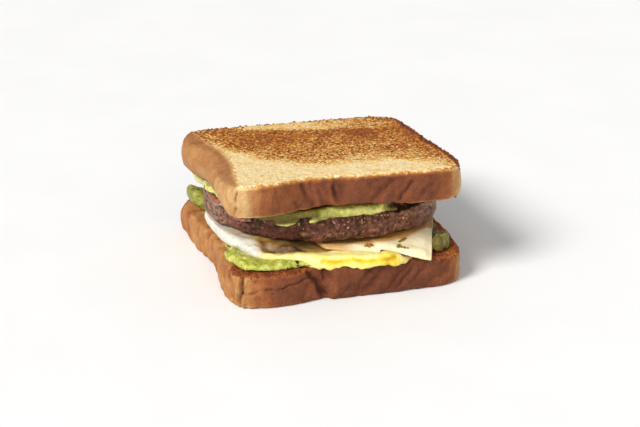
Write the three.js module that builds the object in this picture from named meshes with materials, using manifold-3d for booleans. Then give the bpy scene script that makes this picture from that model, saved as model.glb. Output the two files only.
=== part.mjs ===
// A toasted sandwich: two square slices of white loaf bread with mashed avocado, a fried egg, a
// slice of cheese, a round sausage patty and more mashed avocado between them.
//
// Millimetres, +Z up. The bottom slice rests on z = 0, and the middle of the sandwich's box is over
// the origin. +X runs along the slices' width, and the loaf's domed top crust faces -Y.

import * as THREE from 'three';
import { mergeVertices } from 'three/addons/utils/BufferGeometryUtils.js';
import Module from 'manifold-3d';

const wasm = await Module();
wasm.setup();

// Driving dimensions

const GAP = 0.3; // clearance between touching pieces

const SLICE_HALF_WIDTH = 57.5;
const SLICE_HALF_DEPTH = 56;
const SLICE_THICKNESS = 16;
const SLICE_SQUARENESS = 9; // superellipse exponent of the loaf's section
const SLICE_CUT_EDGE = 1.6; // rounding where the crust meets the cut faces
const SLICE_BELLY = 0.8; // how far the crust bulges between the cut faces

const BOTTOM_SLICE_CENTRE = new THREE.Vector2(-0.7, -2.5);
const BOTTOM_SLICE_SINK = { x: 0.016, y: 0.012 }; // pressed thinner to the right and the back

const TOP_SLICE_CENTRE = new THREE.Vector2(-2.6, -4.5);
const TOP_SLICE_UNDERSIDE = 39.9; // height of its lower cut face over the origin
const TOP_SLICE_TILT = { x: 0.015, y: 0.095 }; // that face falls to the right and the back

const PATTY_CENTRE = new THREE.Vector2(0.5, 4);
const PATTY_RADIUS = 56;
const PATTY_EDGE = 4;
const PATTY_UNDERSIDE = 22.5; // heights of its two faces over the origin, and their slopes
const PATTY_UNDERSIDE_TILT = { x: 0.04, y: 0.045 };
const PATTY_TOP = 36.2;
const PATTY_TOP_TILT = { x: 0.03, y: 0.08 };

const CHEESE_SIDE = 66;
const CHEESE_THICKNESS = 2.4;
const CHEESE_TURN = -20.5; // degrees
const CHEESE_FRONT_CORNER = new THREE.Vector2(36.5, -63.5);
const CHEESE_DROOP = 5.2; // how far the front corner hangs below the flat of the slice
const CHEESE_DROOP_REACH = 32;

const EGG_CENTRE = new THREE.Vector2(-4, -8);
const EGG_EDGE = 2.2;
const EGG_FOLD_RISE = 1.6; // the white is folded and thicker along the left side

const MASH_FILM = 0.9; // thickness of the lower mash under the egg
const MASH_BESIDE_EGG = 1.8; // and round it
const MASH_EDGE = 1.8;
const LOWER_MASH_CENTRE = new THREE.Vector2(0, -5);
const UPPER_MASH_CENTRE = new THREE.Vector2(-6, -8);

// A reach is the distance from a piece's centre to its rim, listed every 30 degrees from +X,
// counterclockwise as seen from above.
const EGG_REACH = [50, 50, 47, 45, 48.5, 55, 50.5, 52, 50.5, 52, 60, 54];
const LOWER_MASH_REACH = [54, 50, 46, 46, 52, 57, 50, 58, 57, 48, 49, 57];
const UPPER_MASH_REACH = [36, 32, 30, 33, 42, 53, 48, 50, 53, 47, 49.5, 38];

// Swells and dips of an outline: the angle where each lies, how far it stands out, and its spread.
const BOTTOM_SWELLS = [
  { at: -124, out: 1.2, spread: 9 },
  { at: -104.5, out: -3.2, spread: 4.5 },
  { at: -176, out: -3.8, spread: 25 },
  { at: 138, out: 2.5, spread: 7 },
];
const TOP_SWELLS = [
  { at: -132, out: 3, spread: 9 },
  { at: -113, out: -3.6, spread: 8 },
  { at: -98, out: -3.6, spread: 12 },
  { at: -52, out: 1.5, spread: 10 },
];
const MASH_SWELLS = [
  { at: -43, out: 14, spread: 10 },
  { at: -136, out: 12, spread: 13 },
  { at: 137, out: 21, spread: 8 },
];
const EGG_SWELL = { at: -133, out: 3.5, spread: 9 };
const PATTY_SWELL = { at: -36, out: 5, spread: 17 };

// Along its left side, the top slice's crust rolls inwards towards its upper and its lower edge.
const UPPER_ROLL = { at: 175, inwards: 8, spread: 25 };
const LOWER_ROLL = { at: 186, inwards: 10.5, spread: 30 };

// Lumps of the lower mash that stand beside the egg.
const MASH_LUMPS = [
  { x: -53, y: 42, height: 9.5, spread: 8 },
  { x: -52, y: -36, height: 2.6, spread: 9 },
  { x: -44, y: -49, height: 2.4, spread: 9 },
  { x: -29, y: -52, height: 2.4, spread: 8 },
  { x: 46, y: -50, height: 6.5, spread: 6 },
  { x: 52, y: -38, height: 6.5, spread: 6.5 },
];

// Ripples of a cooked rim: how many go round, how far they stand out, and the angle they start at.
const PATTY_RIPPLES = [
  { count: 2, out: 0.7, start: 0.6 },
  { count: 5, out: 0.45, start: 2.1 },
  { count: 9, out: 0.3, start: 4.0 },
];

const { degToRad, smoothstep, euclideanModulo } = THREE.MathUtils;

// Surfaces between the pieces

const sloped = (height, slope) => (x, y) => height - slope.x * x - slope.y * y;

const bottomSliceTop = sloped(SLICE_THICKNESS, BOTTOM_SLICE_SINK);
const topSliceUnder = sloped(TOP_SLICE_UNDERSIDE, TOP_SLICE_TILT);
const pattyUnder = sloped(PATTY_UNDERSIDE, PATTY_UNDERSIDE_TILT);
const pattyTop = sloped(PATTY_TOP, PATTY_TOP_TILT);

// The front corner of the cheese hangs down, and the egg beneath is pressed down with it.
function cornerDroop(x, y) {
  const distance = Math.hypot(x - CHEESE_FRONT_CORNER.x, y - CHEESE_FRONT_CORNER.y);
  return CHEESE_DROOP * Math.max(0, 1 - distance / CHEESE_DROOP_REACH) ** 2;
}

const cheeseUnder = (x, y) => pattyUnder(x, y) - GAP - CHEESE_THICKNESS - cornerDroop(x, y);

function eggUnder(x, y) {
  const lifted = 1 - smoothstep(-y, 42, 54); // the front rim of the egg lies on the bread itself
  return bottomSliceTop(x, y) + GAP + lifted * (MASH_FILM + GAP);
}

function eggTop(x, y) {
  const fold = EGG_FOLD_RISE * smoothstep(-x, 38, 50);
  return Math.max(cheeseUnder(x, y) - GAP + fold, eggUnder(x, y) + MASH_FILM);
}

function lowerMashTop(x, y) {
  let height = MASH_BESIDE_EGG;
  for (const lump of MASH_LUMPS) {
    const distance = Math.hypot(x - lump.x, y - lump.y);
    height += lump.height * Math.exp(-((distance / lump.spread) ** 2));
  }
  return bottomSliceTop(x, y) + GAP + height;
}

// Outlines: the reach of a piece as a function of the angle round its centre

// A smooth closed line through reaches that are evenly spaced round the centre.
function reachRound(reaches) {
  const count = reaches.length;
  return (angle) => {
    const place = euclideanModulo((angle / (2 * Math.PI)) * count, count);
    const index = Math.floor(place);
    const t = place - index;
    const [a, b, c, d] = [-1, 0, 1, 2].map((k) => reaches[(index + k + count) % count]);
    return b + 0.5 * t * (c - a + t * (2 * a - 5 * b + 4 * c - d + t * (3 * (b - c) + d - a)));
  };
}

// One at the angle `at`, fading away over `spread` degrees on both sides.
function near(angle, { at, spread }) {
  const turn = euclideanModulo(angle - degToRad(at) + Math.PI, 2 * Math.PI) - Math.PI;
  return Math.exp(-((turn / degToRad(spread)) ** 2));
}

function swollen(outline, swells) {
  return (angle, share) => (
    swells.reduce((reach, swell) => reach + swell.out * near(angle, swell), outline(angle, share)));
}

// The loaf's section: a square with rounded corners, whose crust bulges between the cut faces.
function loafSection(angle, share) {
  const across = Math.abs(Math.cos(angle) / SLICE_HALF_WIDTH) ** SLICE_SQUARENESS;
  const along = Math.abs(Math.sin(angle) / SLICE_HALF_DEPTH) ** SLICE_SQUARENESS;
  return (across + along) ** (-1 / SLICE_SQUARENESS) + SLICE_BELLY * Math.sin(Math.PI * share);
}

function rolledSection(angle, share) {
  const above = UPPER_ROLL.inwards * share ** 3 * near(angle, UPPER_ROLL);
  const below = LOWER_ROLL.inwards * (1 - share) ** 3 * near(angle, LOWER_ROLL);
  return loafSection(angle, share) - above - below;
}

function rippledOutline(radius, ripples) {
  return (angle) => {
    let reach = radius;
    for (const { count, out, start } of ripples) reach += out * Math.sin(count * angle + start);
    return reach;
  };
}

// Building a layer

// Half of a round-rimmed disc's section, from the middle of its underside round to its top.
function discSection({ radius, thickness, edge, edgeHeight, rings, sides }) {
  const flat = radius - edge;
  const quarterSteps = 2;
  const lower = [];
  for (let k = 0; k <= rings; k++) lower.push(new THREE.Vector2((flat * k) / rings, 0));
  for (let k = 1; k <= quarterSteps; k++) {
    const turn = (k / quarterSteps) * (Math.PI / 2);
    lower.push(new THREE.Vector2(flat + edge * Math.sin(turn), edgeHeight * (1 - Math.cos(turn))));
  }
  const wall = [];
  for (let k = 1; k < sides; k++) {
    wall.push(new THREE.Vector2(radius, edgeHeight + (k / sides) * (thickness - 2 * edgeHeight)));
  }
  const upper = lower.map((point) => new THREE.Vector2(point.x, thickness - point.y)).reverse();
  return [...lower, ...wall, ...upper];
}

// A layer of food. A plain disc is lathed, then its rim is carried out to the outline and its
// height is stretched between the two surfaces. `grow` swells the layer on every side.
function layer({ centre, outline, under, over, edge, edgeShare, sectors, rings, sides, grow = 0 }) {
  const radius = 50; // of the plain disc
  const thickness = 10;
  const flat = radius - edge;
  const edgeHeight = thickness * edgeShare;
  const section = discSection({ radius, thickness, edge, edgeHeight, rings, sides });
  const geometry = new THREE.LatheGeometry(section, sectors);
  geometry.rotateX(Math.PI / 2);
  const position = geometry.attributes.position;
  for (let i = 0; i < position.count; i++) {
    const angle = Math.atan2(position.getY(i), position.getX(i));
    const out = Math.hypot(position.getX(i), position.getY(i));
    const share = position.getZ(i) / thickness;
    const reach = outline(angle, share) + grow;
    const distance = out > flat ? reach - (radius - out) : (out * (reach - edge)) / flat;
    const x = centre.x + distance * Math.cos(angle);
    const y = centre.y + distance * Math.sin(angle);
    const low = under(x, y) - grow;
    const high = over(x, y) + grow;
    position.setXYZ(i, x, y, low + share * (high - low));
  }
  return geometry;
}

function material(color, roughness) {
  return new THREE.MeshStandardMaterial({ color, roughness, metalness: 0 });
}

function piece(name, geometry, finish) {
  geometry.computeVertexNormals();
  const mesh = new THREE.Mesh(geometry, finish);
  mesh.name = name;
  return mesh;
}

// Joining and cutting

function toSolid(geometry) {
  const bare = geometry.clone();
  bare.deleteAttribute('normal');
  bare.deleteAttribute('uv');
  const merged = mergeVertices(bare, 1e-4);
  const triVerts = Uint32Array.from(merged.index.array);
  const vertProperties = Float32Array.from(merged.attributes.position.array);
  return new wasm.Manifold(new wasm.Mesh({ numProp: 3, vertProperties, triVerts }));
}

function toGeometry(solid) {
  const { vertProperties, triVerts } = solid.getMesh();
  const geometry = new THREE.BufferGeometry();
  geometry.setAttribute('position', new THREE.BufferAttribute(vertProperties, 3));
  geometry.setIndex(new THREE.BufferAttribute(triVerts, 1));
  return geometry;
}

// The pieces

const TOAST = material('#b9773f', 0.85);
const AVOCADO = material('#a9b843', 0.45);

const SLICE_SHAPE = {
  edge: SLICE_CUT_EDGE,
  edgeShare: SLICE_CUT_EDGE / SLICE_THICKNESS,
  sectors: 96,
  rings: 1,
  sides: 3,
};

function bottomSlice() {
  const geometry = layer({
    ...SLICE_SHAPE,
    centre: BOTTOM_SLICE_CENTRE,
    outline: swollen(loafSection, BOTTOM_SWELLS),
    under: () => 0,
    over: bottomSliceTop,
  });
  return piece('bread_bottom', geometry, TOAST);
}

function topSlice() {
  const geometry = layer({
    ...SLICE_SHAPE,
    centre: TOP_SLICE_CENTRE,
    outline: swollen(rolledSection, TOP_SWELLS),
    under: topSliceUnder,
    over: (x, y) => topSliceUnder(x, y) + SLICE_THICKNESS,
  });
  return piece('bread_top', geometry, TOAST);
}

function eggBody(grow) {
  return layer({
    centre: EGG_CENTRE,
    outline: swollen(reachRound(EGG_REACH), [EGG_SWELL]),
    under: eggUnder,
    over: eggTop,
    edge: EGG_EDGE,
    edgeShare: 0.4,
    sectors: 60,
    rings: 3,
    sides: 1,
    grow,
  });
}

function cheeseBody(grow) {
  const side = CHEESE_SIDE + 2 * grow;
  const geometry = new THREE.BoxGeometry(side, side, 1, 10, 10, 1);
  const turn = degToRad(CHEESE_TURN);
  const corner = new THREE.Vector2(CHEESE_SIDE / 2, -CHEESE_SIDE / 2);
  const middle = CHEESE_FRONT_CORNER.clone().sub(corner.rotateAround(new THREE.Vector2(), turn));
  geometry.rotateZ(turn);
  geometry.translate(middle.x, middle.y, 0.5);
  const position = geometry.attributes.position;
  for (let i = 0; i < position.count; i++) {
    const [x, y] = [position.getX(i), position.getY(i)];
    const thickness = CHEESE_THICKNESS + 2 * grow;
    position.setZ(i, cheeseUnder(x, y) - grow + thickness * position.getZ(i));
  }
  return geometry;
}

function friedEgg() {
  return piece('fried_egg', eggBody(0), material('#f3e7a4', 0.4));
}

function cheeseSlice() {
  return piece('cheese_slice', cheeseBody(0), material('#f0e2b8', 0.45));
}

// The lower mash is squeezed out round the egg and the cheese, which leave their shape in it.
function lowerMash() {
  const spread = layer({
    centre: LOWER_MASH_CENTRE,
    outline: swollen(reachRound(LOWER_MASH_REACH), MASH_SWELLS),
    under: (x, y) => bottomSliceTop(x, y) + GAP,
    over: lowerMashTop,
    edge: MASH_EDGE,
    edgeShare: 0.4,
    sectors: 54,
    rings: 5,
    sides: 1,
  });
  const left = toSolid(spread).subtract(toSolid(eggBody(GAP))).subtract(toSolid(cheeseBody(GAP)));
  return piece('avocado_lower', toGeometry(left), AVOCADO);
}

function upperMash() {
  const geometry = layer({
    centre: UPPER_MASH_CENTRE,
    outline: reachRound(UPPER_MASH_REACH),
    under: (x, y) => pattyTop(x, y) + GAP,
    over: (x, y) => topSliceUnder(x, y) - GAP,
    edge: MASH_EDGE,
    edgeShare: 0.4,
    sectors: 48,
    rings: 2,
    sides: 1,
  });
  return piece('avocado_upper', geometry, AVOCADO);
}

function sausagePatty() {
  const geometry = layer({
    centre: PATTY_CENTRE,
    outline: swollen(rippledOutline(PATTY_RADIUS, PATTY_RIPPLES), [PATTY_SWELL]),
    under: pattyUnder,
    over: pattyTop,
    edge: PATTY_EDGE,
    edgeShare: PATTY_EDGE / (PATTY_TOP - PATTY_UNDERSIDE),
    sectors: 64,
    rings: 1,
    sides: 2,
  });
  return piece('sausage_patty', geometry, material('#5b3a2e', 0.7));
}

const sandwich = new THREE.Group();
sandwich.add(bottomSlice(), lowerMash(), friedEgg(), cheeseSlice(), sausagePatty(), upperMash(), topSlice());

// The origin is under the middle of the whole sandwich.
const box = new THREE.Box3().setFromObject(sandwich);
const middle = box.getCenter(new THREE.Vector3());
sandwich.position.set(-middle.x, -middle.y, 0);

export default sandwich;
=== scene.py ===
"""The looks of a toasted sausage, egg and cheese sandwich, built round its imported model.

Each CAD node is copied, remeshed finely and modelled like clay: its points are pushed about in
millimetres and painted with named values, which its material turns into colours.
"""

import itertools
import math

import bmesh
import bpy
import numpy as np
from mathutils import Matrix, Vector


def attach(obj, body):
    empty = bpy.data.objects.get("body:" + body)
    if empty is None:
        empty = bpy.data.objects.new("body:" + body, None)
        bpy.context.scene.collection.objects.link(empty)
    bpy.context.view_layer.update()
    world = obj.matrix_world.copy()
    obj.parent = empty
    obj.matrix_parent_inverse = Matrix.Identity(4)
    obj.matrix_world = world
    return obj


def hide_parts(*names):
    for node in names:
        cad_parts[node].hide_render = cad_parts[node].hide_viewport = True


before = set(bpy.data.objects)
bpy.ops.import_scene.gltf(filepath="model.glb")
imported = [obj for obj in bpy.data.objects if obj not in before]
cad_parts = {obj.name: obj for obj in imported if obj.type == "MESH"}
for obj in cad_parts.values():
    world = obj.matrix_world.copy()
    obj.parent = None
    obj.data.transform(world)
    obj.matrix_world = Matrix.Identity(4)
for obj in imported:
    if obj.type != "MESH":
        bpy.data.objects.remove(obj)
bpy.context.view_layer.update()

MM = 0.001
BODY = "root"
# The patty's middle, seen from above, in millimetres.
PATTY_MIDDLE = (0.5, 4)
# The least upright part of a level face's normal.
NEARLY_LEVEL = 0.97

# -------- patterns over arrays of points

# From the middle of a cube to its twelve edges: the slopes that noise is made from.
EDGE_DIRECTIONS = np.array(
    [step for step in itertools.product((-1, 0, 1), repeat=3) if sum(map(abs, step)) == 2], float
)


def rise(low, high, values):
    """Rises softly from 0 at low to 1 at high, or falls where low is the greater."""
    share = np.clip((values - low) / (high - low), 0, 1)
    return share * share * (3 - 2 * share)


def scrambled(cell, seed):
    """A whole number below 2^32 for each lattice cell, which looks random."""
    mixed = cell[:, 0] * 73856093 ^ cell[:, 1] * 19349663 ^ cell[:, 2] * 83492791 ^ seed * 26544357
    mixed &= 0xFFFFFFFF
    for factor in (2246822519, 3266489917):
        mixed = ((mixed ^ (mixed >> 15)) * factor) & 0xFFFFFFFF
    return mixed ^ (mixed >> 16)


def noise(points, size, seed):
    """Smooth noise from about -1 to 1, with features of the given size."""
    scaled = points / size
    home = np.floor(scaled).astype(np.int64)
    offset = scaled - home
    fade = offset ** 3 * (offset * (offset * 6 - 15) + 10)
    total = np.zeros(len(points))
    for corner in itertools.product((0, 1), repeat=3):
        slope = EDGE_DIRECTIONS[scrambled(home + corner, seed) % len(EDGE_DIRECTIONS)]
        weight = np.prod(np.where(corner, fade, 1 - fade), axis=1)
        total += weight * ((offset - corner) * slope).sum(1)
    reach = 1.4
    return total * reach


def warped(points, amount, size, seed):
    """The points moved about by noise, so that patterns made from them lose their straight lines."""
    return points + amount * np.stack([noise(points, size, seed + k) for k in range(3)], 1)


def cells(points, size, seed):
    """For each point: how far the nearest of many scattered seeds is, as a share of the size, and
    a random tone from 0 to 1 of that seed."""
    scaled = points / size
    home = np.floor(scaled).astype(np.int64)
    nearest = np.full(len(points), 9.0)
    tone = np.zeros(len(points))
    for step in itertools.product((-1, 0, 1), repeat=3):
        cell = home + step
        mixed = scrambled(cell, seed)
        place = np.stack([mixed & 1023, (mixed >> 10) & 1023, (mixed >> 20) & 1023], 1) / 1023
        distance = np.linalg.norm(cell + place - scaled, axis=1)
        nearer = distance < nearest
        tone = np.where(nearer, (mixed % 1009) / 1009, tone)
        nearest = np.where(nearer, distance, nearest)
    return nearest, tone


def streaks(points, along, width, length, seed):
    """Noise drawn out along a direction."""
    along = np.array(along, float) / np.linalg.norm(along)
    lengthwise = points @ along
    across = points - np.outer(lengthwise, along)
    return noise(across / width + np.outer(lengthwise / length, along), 1, seed)


def from_above(points, place):
    """Distance from a place given as X and Y, as seen from above."""
    return np.hypot(points[:, 0] - place[0], points[:, 1] - place[1])


def distance_to_path(points, path):
    """Distance from each point to a line through the path's points."""
    path = np.array(path, float)
    nearest = np.full(len(points), 1e9)
    for start, end in zip(path[:-1], path[1:]):
        leg = end - start
        share = np.clip((points - start) @ leg / (leg @ leg), 0, 1)
        nearest = np.minimum(nearest, np.linalg.norm(points - start - np.outer(share, leg), axis=1))
    return nearest


def near_path(points, path, width):
    """One on the path, fading to nothing at about twice the width from it. A path given as X and Y
    alone is followed as seen from above."""
    return np.exp(-(distance_to_path(points[:, :len(path[0])], path) / width) ** 2)


def near_point(points, place, spread):
    """One at the place, fading to nothing at about twice the spread."""
    return np.exp(-((points - place) ** 2).sum(1) / spread ** 2)


# -------- clay


def new_object(name, data):
    obj = bpy.data.objects.new(name, data)
    bpy.context.scene.collection.objects.link(obj)
    return obj


def chain(path, radii, flatness=0.8):
    """Ellipsoids along a path, as (centre, radius, height), with a radius given for each point of
    the path."""
    path = np.array(path, float)
    radii = np.array(radii, float)
    reached = np.concatenate([[0], np.cumsum(np.linalg.norm(np.diff(path, axis=0), axis=1))])
    spacing = 0.45 * radii.mean()
    count = max(2, round(reached[-1] / spacing))
    places = np.linspace(0, reached[-1], count)
    centres = np.stack([np.interp(places, reached, column) for column in path.T], 1)
    sizes = np.interp(places, reached, radii)
    return [(centre, size, size * flatness) for centre, size in zip(centres, sizes)]


class Clay:
    """A finely remeshed body, joined from a CAD node and ellipsoids. Its points are in
    millimetres."""

    def __init__(self, name, voxel, node=None, blobs=()):
        self.node = node
        rough_mesh = bmesh.new()
        if node is not None:
            rough_mesh.from_mesh(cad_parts[node].data)
        for centre, radius, height in blobs:
            place = Matrix.Translation(Vector(centre) * MM)
            shape = Matrix.Diagonal((radius * MM, radius * MM, height * MM, 1))
            bmesh.ops.create_icosphere(rough_mesh, subdivisions=2, radius=1, matrix=place @ shape)
        source = bpy.data.meshes.new(name)
        rough_mesh.to_mesh(source)
        rough_mesh.free()
        rough = new_object(name, source)
        remesh = rough.modifiers.new("remesh", "REMESH")
        remesh.mode = "VOXEL"
        remesh.voxel_size = voxel * MM
        depsgraph = bpy.context.evaluated_depsgraph_get()
        mesh = bpy.data.meshes.new_from_object(rough.evaluated_get(depsgraph))
        rough.modifiers.clear()
        rough.data = mesh
        mesh.name = name
        self.object = rough
        self.mesh = mesh
        self.count = len(mesh.vertices)
        flat = np.zeros(self.count * 3)
        mesh.vertices.foreach_get("co", flat)
        self.points = flat.reshape(-1, 3) / MM
        ends = np.zeros(len(mesh.edges) * 2, np.int32)
        mesh.edges.foreach_get("vertices", ends)
        self.edges = ends.reshape(-1, 2)
        self.degree = np.bincount(ends, minlength=self.count)[:, None]

    def update(self):
        self.mesh.vertices.foreach_set("co", (self.points * MM).ravel())
        self.mesh.update()

    def normals(self):
        self.update()
        flat = np.zeros(self.count * 3)
        self.mesh.vertex_normals.foreach_get("vector", flat)
        return flat.reshape(-1, 3)

    def neighbour_mean(self, values):
        a, b = self.edges.T
        columns = [
            np.bincount(a, column[b], self.count) + np.bincount(b, column[a], self.count)
            for column in values.T
        ]
        return np.stack(columns, 1) / self.degree

    def smooth(self, times):
        """Moves each point halfway to its neighbours' mean, so many times."""
        for _ in range(times):
            self.points += (self.neighbour_mean(self.points) - self.points) * 0.5

    def push(self, amount):
        """Moves each point outwards by its own amount."""
        self.points += self.normals() * np.asarray(amount)[:, None]

    def hollowness(self, times):
        """How far each point lies below the mean of its surroundings, in millimetres."""
        mean = self.points
        for _ in range(times):
            mean = self.neighbour_mean(mean)
        return ((mean - self.points) * self.normals()).sum(1)

    def paint(self, name, values):
        attribute = self.mesh.attributes.new(name, "FLOAT", "POINT")
        attribute.data.foreach_set("value", np.clip(values, 0, 1).astype(np.float32))

    def finish(self, material):
        self.update()
        self.mesh.polygons.foreach_set("use_smooth", [True] * len(self.mesh.polygons))
        self.mesh.materials.append(material)
        if self.node is not None:
            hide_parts(self.node)
        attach(self.object, BODY)


def face_plane(node, side):
    """The flat upper (side 1) or lower (side -1) face of a node, as its height over the origin and
    its slopes along X and Y, in millimetres."""
    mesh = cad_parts[node].data
    flat = [face for face in mesh.polygons if face.normal.z * side > NEARLY_LEVEL]
    weight = np.array([face.area for face in flat]) ** 0.5
    centre = np.array([face.center for face in flat]) / MM
    columns = np.stack([np.ones(len(flat)), centre[:, 0], centre[:, 1]], 1)
    return np.linalg.lstsq(columns * weight[:, None], centre[:, 2] * weight, rcond=None)[0]


def plane_height(plane, points):
    return plane[0] + plane[1] * points[:, 0] + plane[2] * points[:, 1]


def facing(normals, x, y, z=0.0):
    """From 0 to 1, how squarely each point faces a direction."""
    direction = np.array([x, y, z]) / math.sqrt(x * x + y * y + z * z)
    return np.clip(normals @ direction, 0, 1)


# -------- materials


def srgb(red, green, blue):
    """A colour given as it looks on a screen, from 0 to 255, as linear light."""
    channels = [value / 255 for value in (red, green, blue)]
    linear = [c / 12.92 if c <= 0.04045 else ((c + 0.055) / 1.055) ** 2.4 for c in channels]
    return (*linear, 1.0)


class Recipe:
    """A material's nodes, made one by one. Sizes are in millimetres."""

    def __init__(self, name):
        self.material = bpy.data.materials.new(name)
        self.material.use_nodes = True
        self.nodes = self.material.node_tree.nodes
        self.links = self.material.node_tree.links
        self.nodes.clear()
        self.place = self.nodes.new("ShaderNodeTexCoord").outputs["Object"]

    def connect(self, value, socket):
        if isinstance(value, bpy.types.NodeSocket):
            self.links.new(value, socket)
        else:
            socket.default_value = value

    def painted(self, name):
        node = self.nodes.new("ShaderNodeAttribute")
        node.attribute_name = name
        return node.outputs["Fac"]

    def noise(self, size, detail, roughness=0.5):
        """Noise from 0 to 1, mostly near its ends."""
        node = self.nodes.new("ShaderNodeTexNoise")
        node.inputs["Scale"].default_value = 1 / (size * MM)
        node.inputs["Detail"].default_value = detail
        node.inputs["Roughness"].default_value = roughness
        self.links.new(self.place, node.inputs["Vector"])
        return self.span(node.outputs["Fac"], 0.32, 0.68)

    def cells(self, size):
        """Distance to the nearest of many scattered seeds, as a share of the size."""
        node = self.nodes.new("ShaderNodeTexVoronoi")
        node.inputs["Scale"].default_value = 1 / (size * MM)
        self.links.new(self.place, node.inputs["Vector"])
        return node.outputs["Distance"]

    def math(self, operation, *values):
        node = self.nodes.new("ShaderNodeMath")
        node.operation = operation
        for value, socket in zip(values, node.inputs):
            self.connect(value, socket)
        return node.outputs[0]

    def plus(self, base, *terms):
        """base plus, for each pair, the pattern's distance from a half times the amount."""
        for pattern, amount in terms:
            base = self.math("ADD", base, self.math("MULTIPLY_ADD", pattern, amount, -amount / 2))
        return base

    def ramp(self, factor, stops):
        """Colours along a value, each given as (position, red, green, blue)."""
        node = self.nodes.new("ShaderNodeValToRGB")
        elements = node.color_ramp.elements
        while len(elements) < len(stops):
            elements.new(0.5)
        for element, (position, *colour) in zip(elements, stops):
            element.position = position
            element.color = srgb(*colour)
        self.connect(factor, node.inputs["Fac"])
        return node.outputs["Color"]

    def span(self, value, low, high, to_low=0.0, to_high=1.0):
        node = self.nodes.new("ShaderNodeMapRange")
        node.interpolation_type = "SMOOTHSTEP"
        settings = (low, high, to_low, to_high)
        for name, number in zip(("From Min", "From Max", "To Min", "To Max"), settings):
            node.inputs[name].default_value = number
        self.connect(value, node.inputs["Value"])
        return node.outputs["Result"]

    def mix(self, factor, a, b):
        # The node's sockets for colours share their names with others.
        colour_a, colour_b, colour_result = 6, 7, 2
        node = self.nodes.new("ShaderNodeMix")
        node.data_type = "RGBA"
        self.connect(factor, node.inputs["Factor"])
        self.connect(a, node.inputs[colour_a])
        self.connect(b, node.inputs[colour_b])
        return node.outputs[colour_result]

    def coat(self, under, name, *colour):
        """Another colour where the named value is painted."""
        return self.mix(self.painted(name), under, srgb(*colour))

    def bump(self, height, depth):
        """Relief of the given depth in millimetres."""
        node = self.nodes.new("ShaderNodeBump")
        node.inputs["Strength"].default_value = 1.0
        node.inputs["Distance"].default_value = depth * MM
        self.links.new(height, node.inputs["Height"])
        return node.outputs["Normal"]

    def surface(self, colour, roughness, relief, shine=0.5, glow=()):
        """glow is the weight, radius and scale of the light scattered below the surface."""
        shader = self.nodes.new("ShaderNodeBsdfPrincipled")
        output = self.nodes.new("ShaderNodeOutputMaterial")
        self.connect(colour, shader.inputs["Base Color"])
        self.connect(roughness, shader.inputs["Roughness"])
        self.links.new(relief, shader.inputs["Normal"])
        shader.inputs["Specular IOR Level"].default_value = shine
        for name, value in zip(("Weight", "Radius", "Scale"), glow):
            shader.inputs["Subsurface " + name].default_value = value
        self.links.new(shader.outputs[0], output.inputs[0])
        return self.material


def bread_material():
    r = Recipe("toasted_bread")
    grain = r.noise(1.1, 2, 0.6)
    clumps = r.noise(2.2, 2, 0.6)
    toast = r.painted("toast")
    speckles = r.plus(0.0, (grain, 1.0), (clumps, 0.6), (r.noise(7, 2), 0.3))
    rising = r.span(toast, 0.1, 0.5, 0.13, 0.55)
    falling = r.span(toast, 0.6, 0.8, 1, 0.28)
    contrast = r.math("MULTIPLY", rising, falling)
    toasted = r.math("MULTIPLY_ADD", speckles, contrast, toast)
    crumb = r.ramp(toasted, [
        (0.00, 240, 224, 186), (0.20, 232, 200, 134), (0.40, 220, 162, 68), (0.58, 204, 126, 46),
        (0.78, 152, 82, 34), (1.00, 98, 48, 28),
    ])
    # Painted shade darkens the pores.
    crumb = r.coat(crumb, "pore_shade", 140, 96, 42)

    speckle = r.noise(0.5, 2, 0.6)
    baked = r.plus(r.painted("bake"), (speckle, 0.12), (r.noise(2.6, 2), 0.07), (r.noise(11, 2), 0.12))
    crust = r.ramp(baked, [
        (0.00, 226, 196, 138), (0.20, 200, 161, 110), (0.40, 175, 124, 72), (0.60, 150, 88, 47),
        (0.80, 119, 65, 38), (1.00, 86, 43, 25),
    ])
    # Painted shade darkens the crust in its creases.
    crust = r.coat(crust, "crease_shade", 70, 34, 24)

    colour = r.mix(r.painted("cut"), crust, crumb)
    roughened = r.math("MULTIPLY", r.plus(grain, (clumps, 1.2)), r.span(toast, 0.1, 0.5, 0.3, 1.0))
    crumb_relief = r.bump(roughened, 0.28)
    crust_relief = r.bump(r.plus(speckle, (r.noise(1.6, 3), 1.0)), 0.12)
    relief = r.mix(r.painted("cut"), crust_relief, crumb_relief)
    roughness = r.span(r.painted("cut"), 0, 1, 0.6, 0.88)
    return r.surface(colour, roughness, relief, shine=0.2)


def avocado_material():
    r = Recipe("mashed_avocado")
    mottled = r.plus(r.painted("tone"), (r.noise(1.6, 3, 0.6), 0.2), (r.noise(6, 2), 0.2))
    flesh = r.ramp(mottled, [
        (0.0, 102, 112, 26), (0.3, 144, 150, 46), (0.6, 184, 186, 82), (1.0, 246, 242, 140),
    ])
    # Partly the avocado's own darker green and partly painted shade.
    flesh = r.coat(flesh, "olive_and_shade", 98, 84, 22)
    # Lighter green on lighter bits, and a painted highlight along the leaves' outlines.
    flesh = r.coat(flesh, "pale_and_highlight", 196, 196, 140)
    relief = r.bump(r.plus(r.noise(0.7, 3, 0.6), (r.noise(2.0, 2), 1.2)), 0.14)
    roughness = r.span(r.noise(1.6, 2), 0, 1, 0.2, 0.42)
    return r.surface(flesh, roughness, relief, shine=0.4, glow=(0.15, (1.0, 0.9, 0.3), 0.0012))


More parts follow.
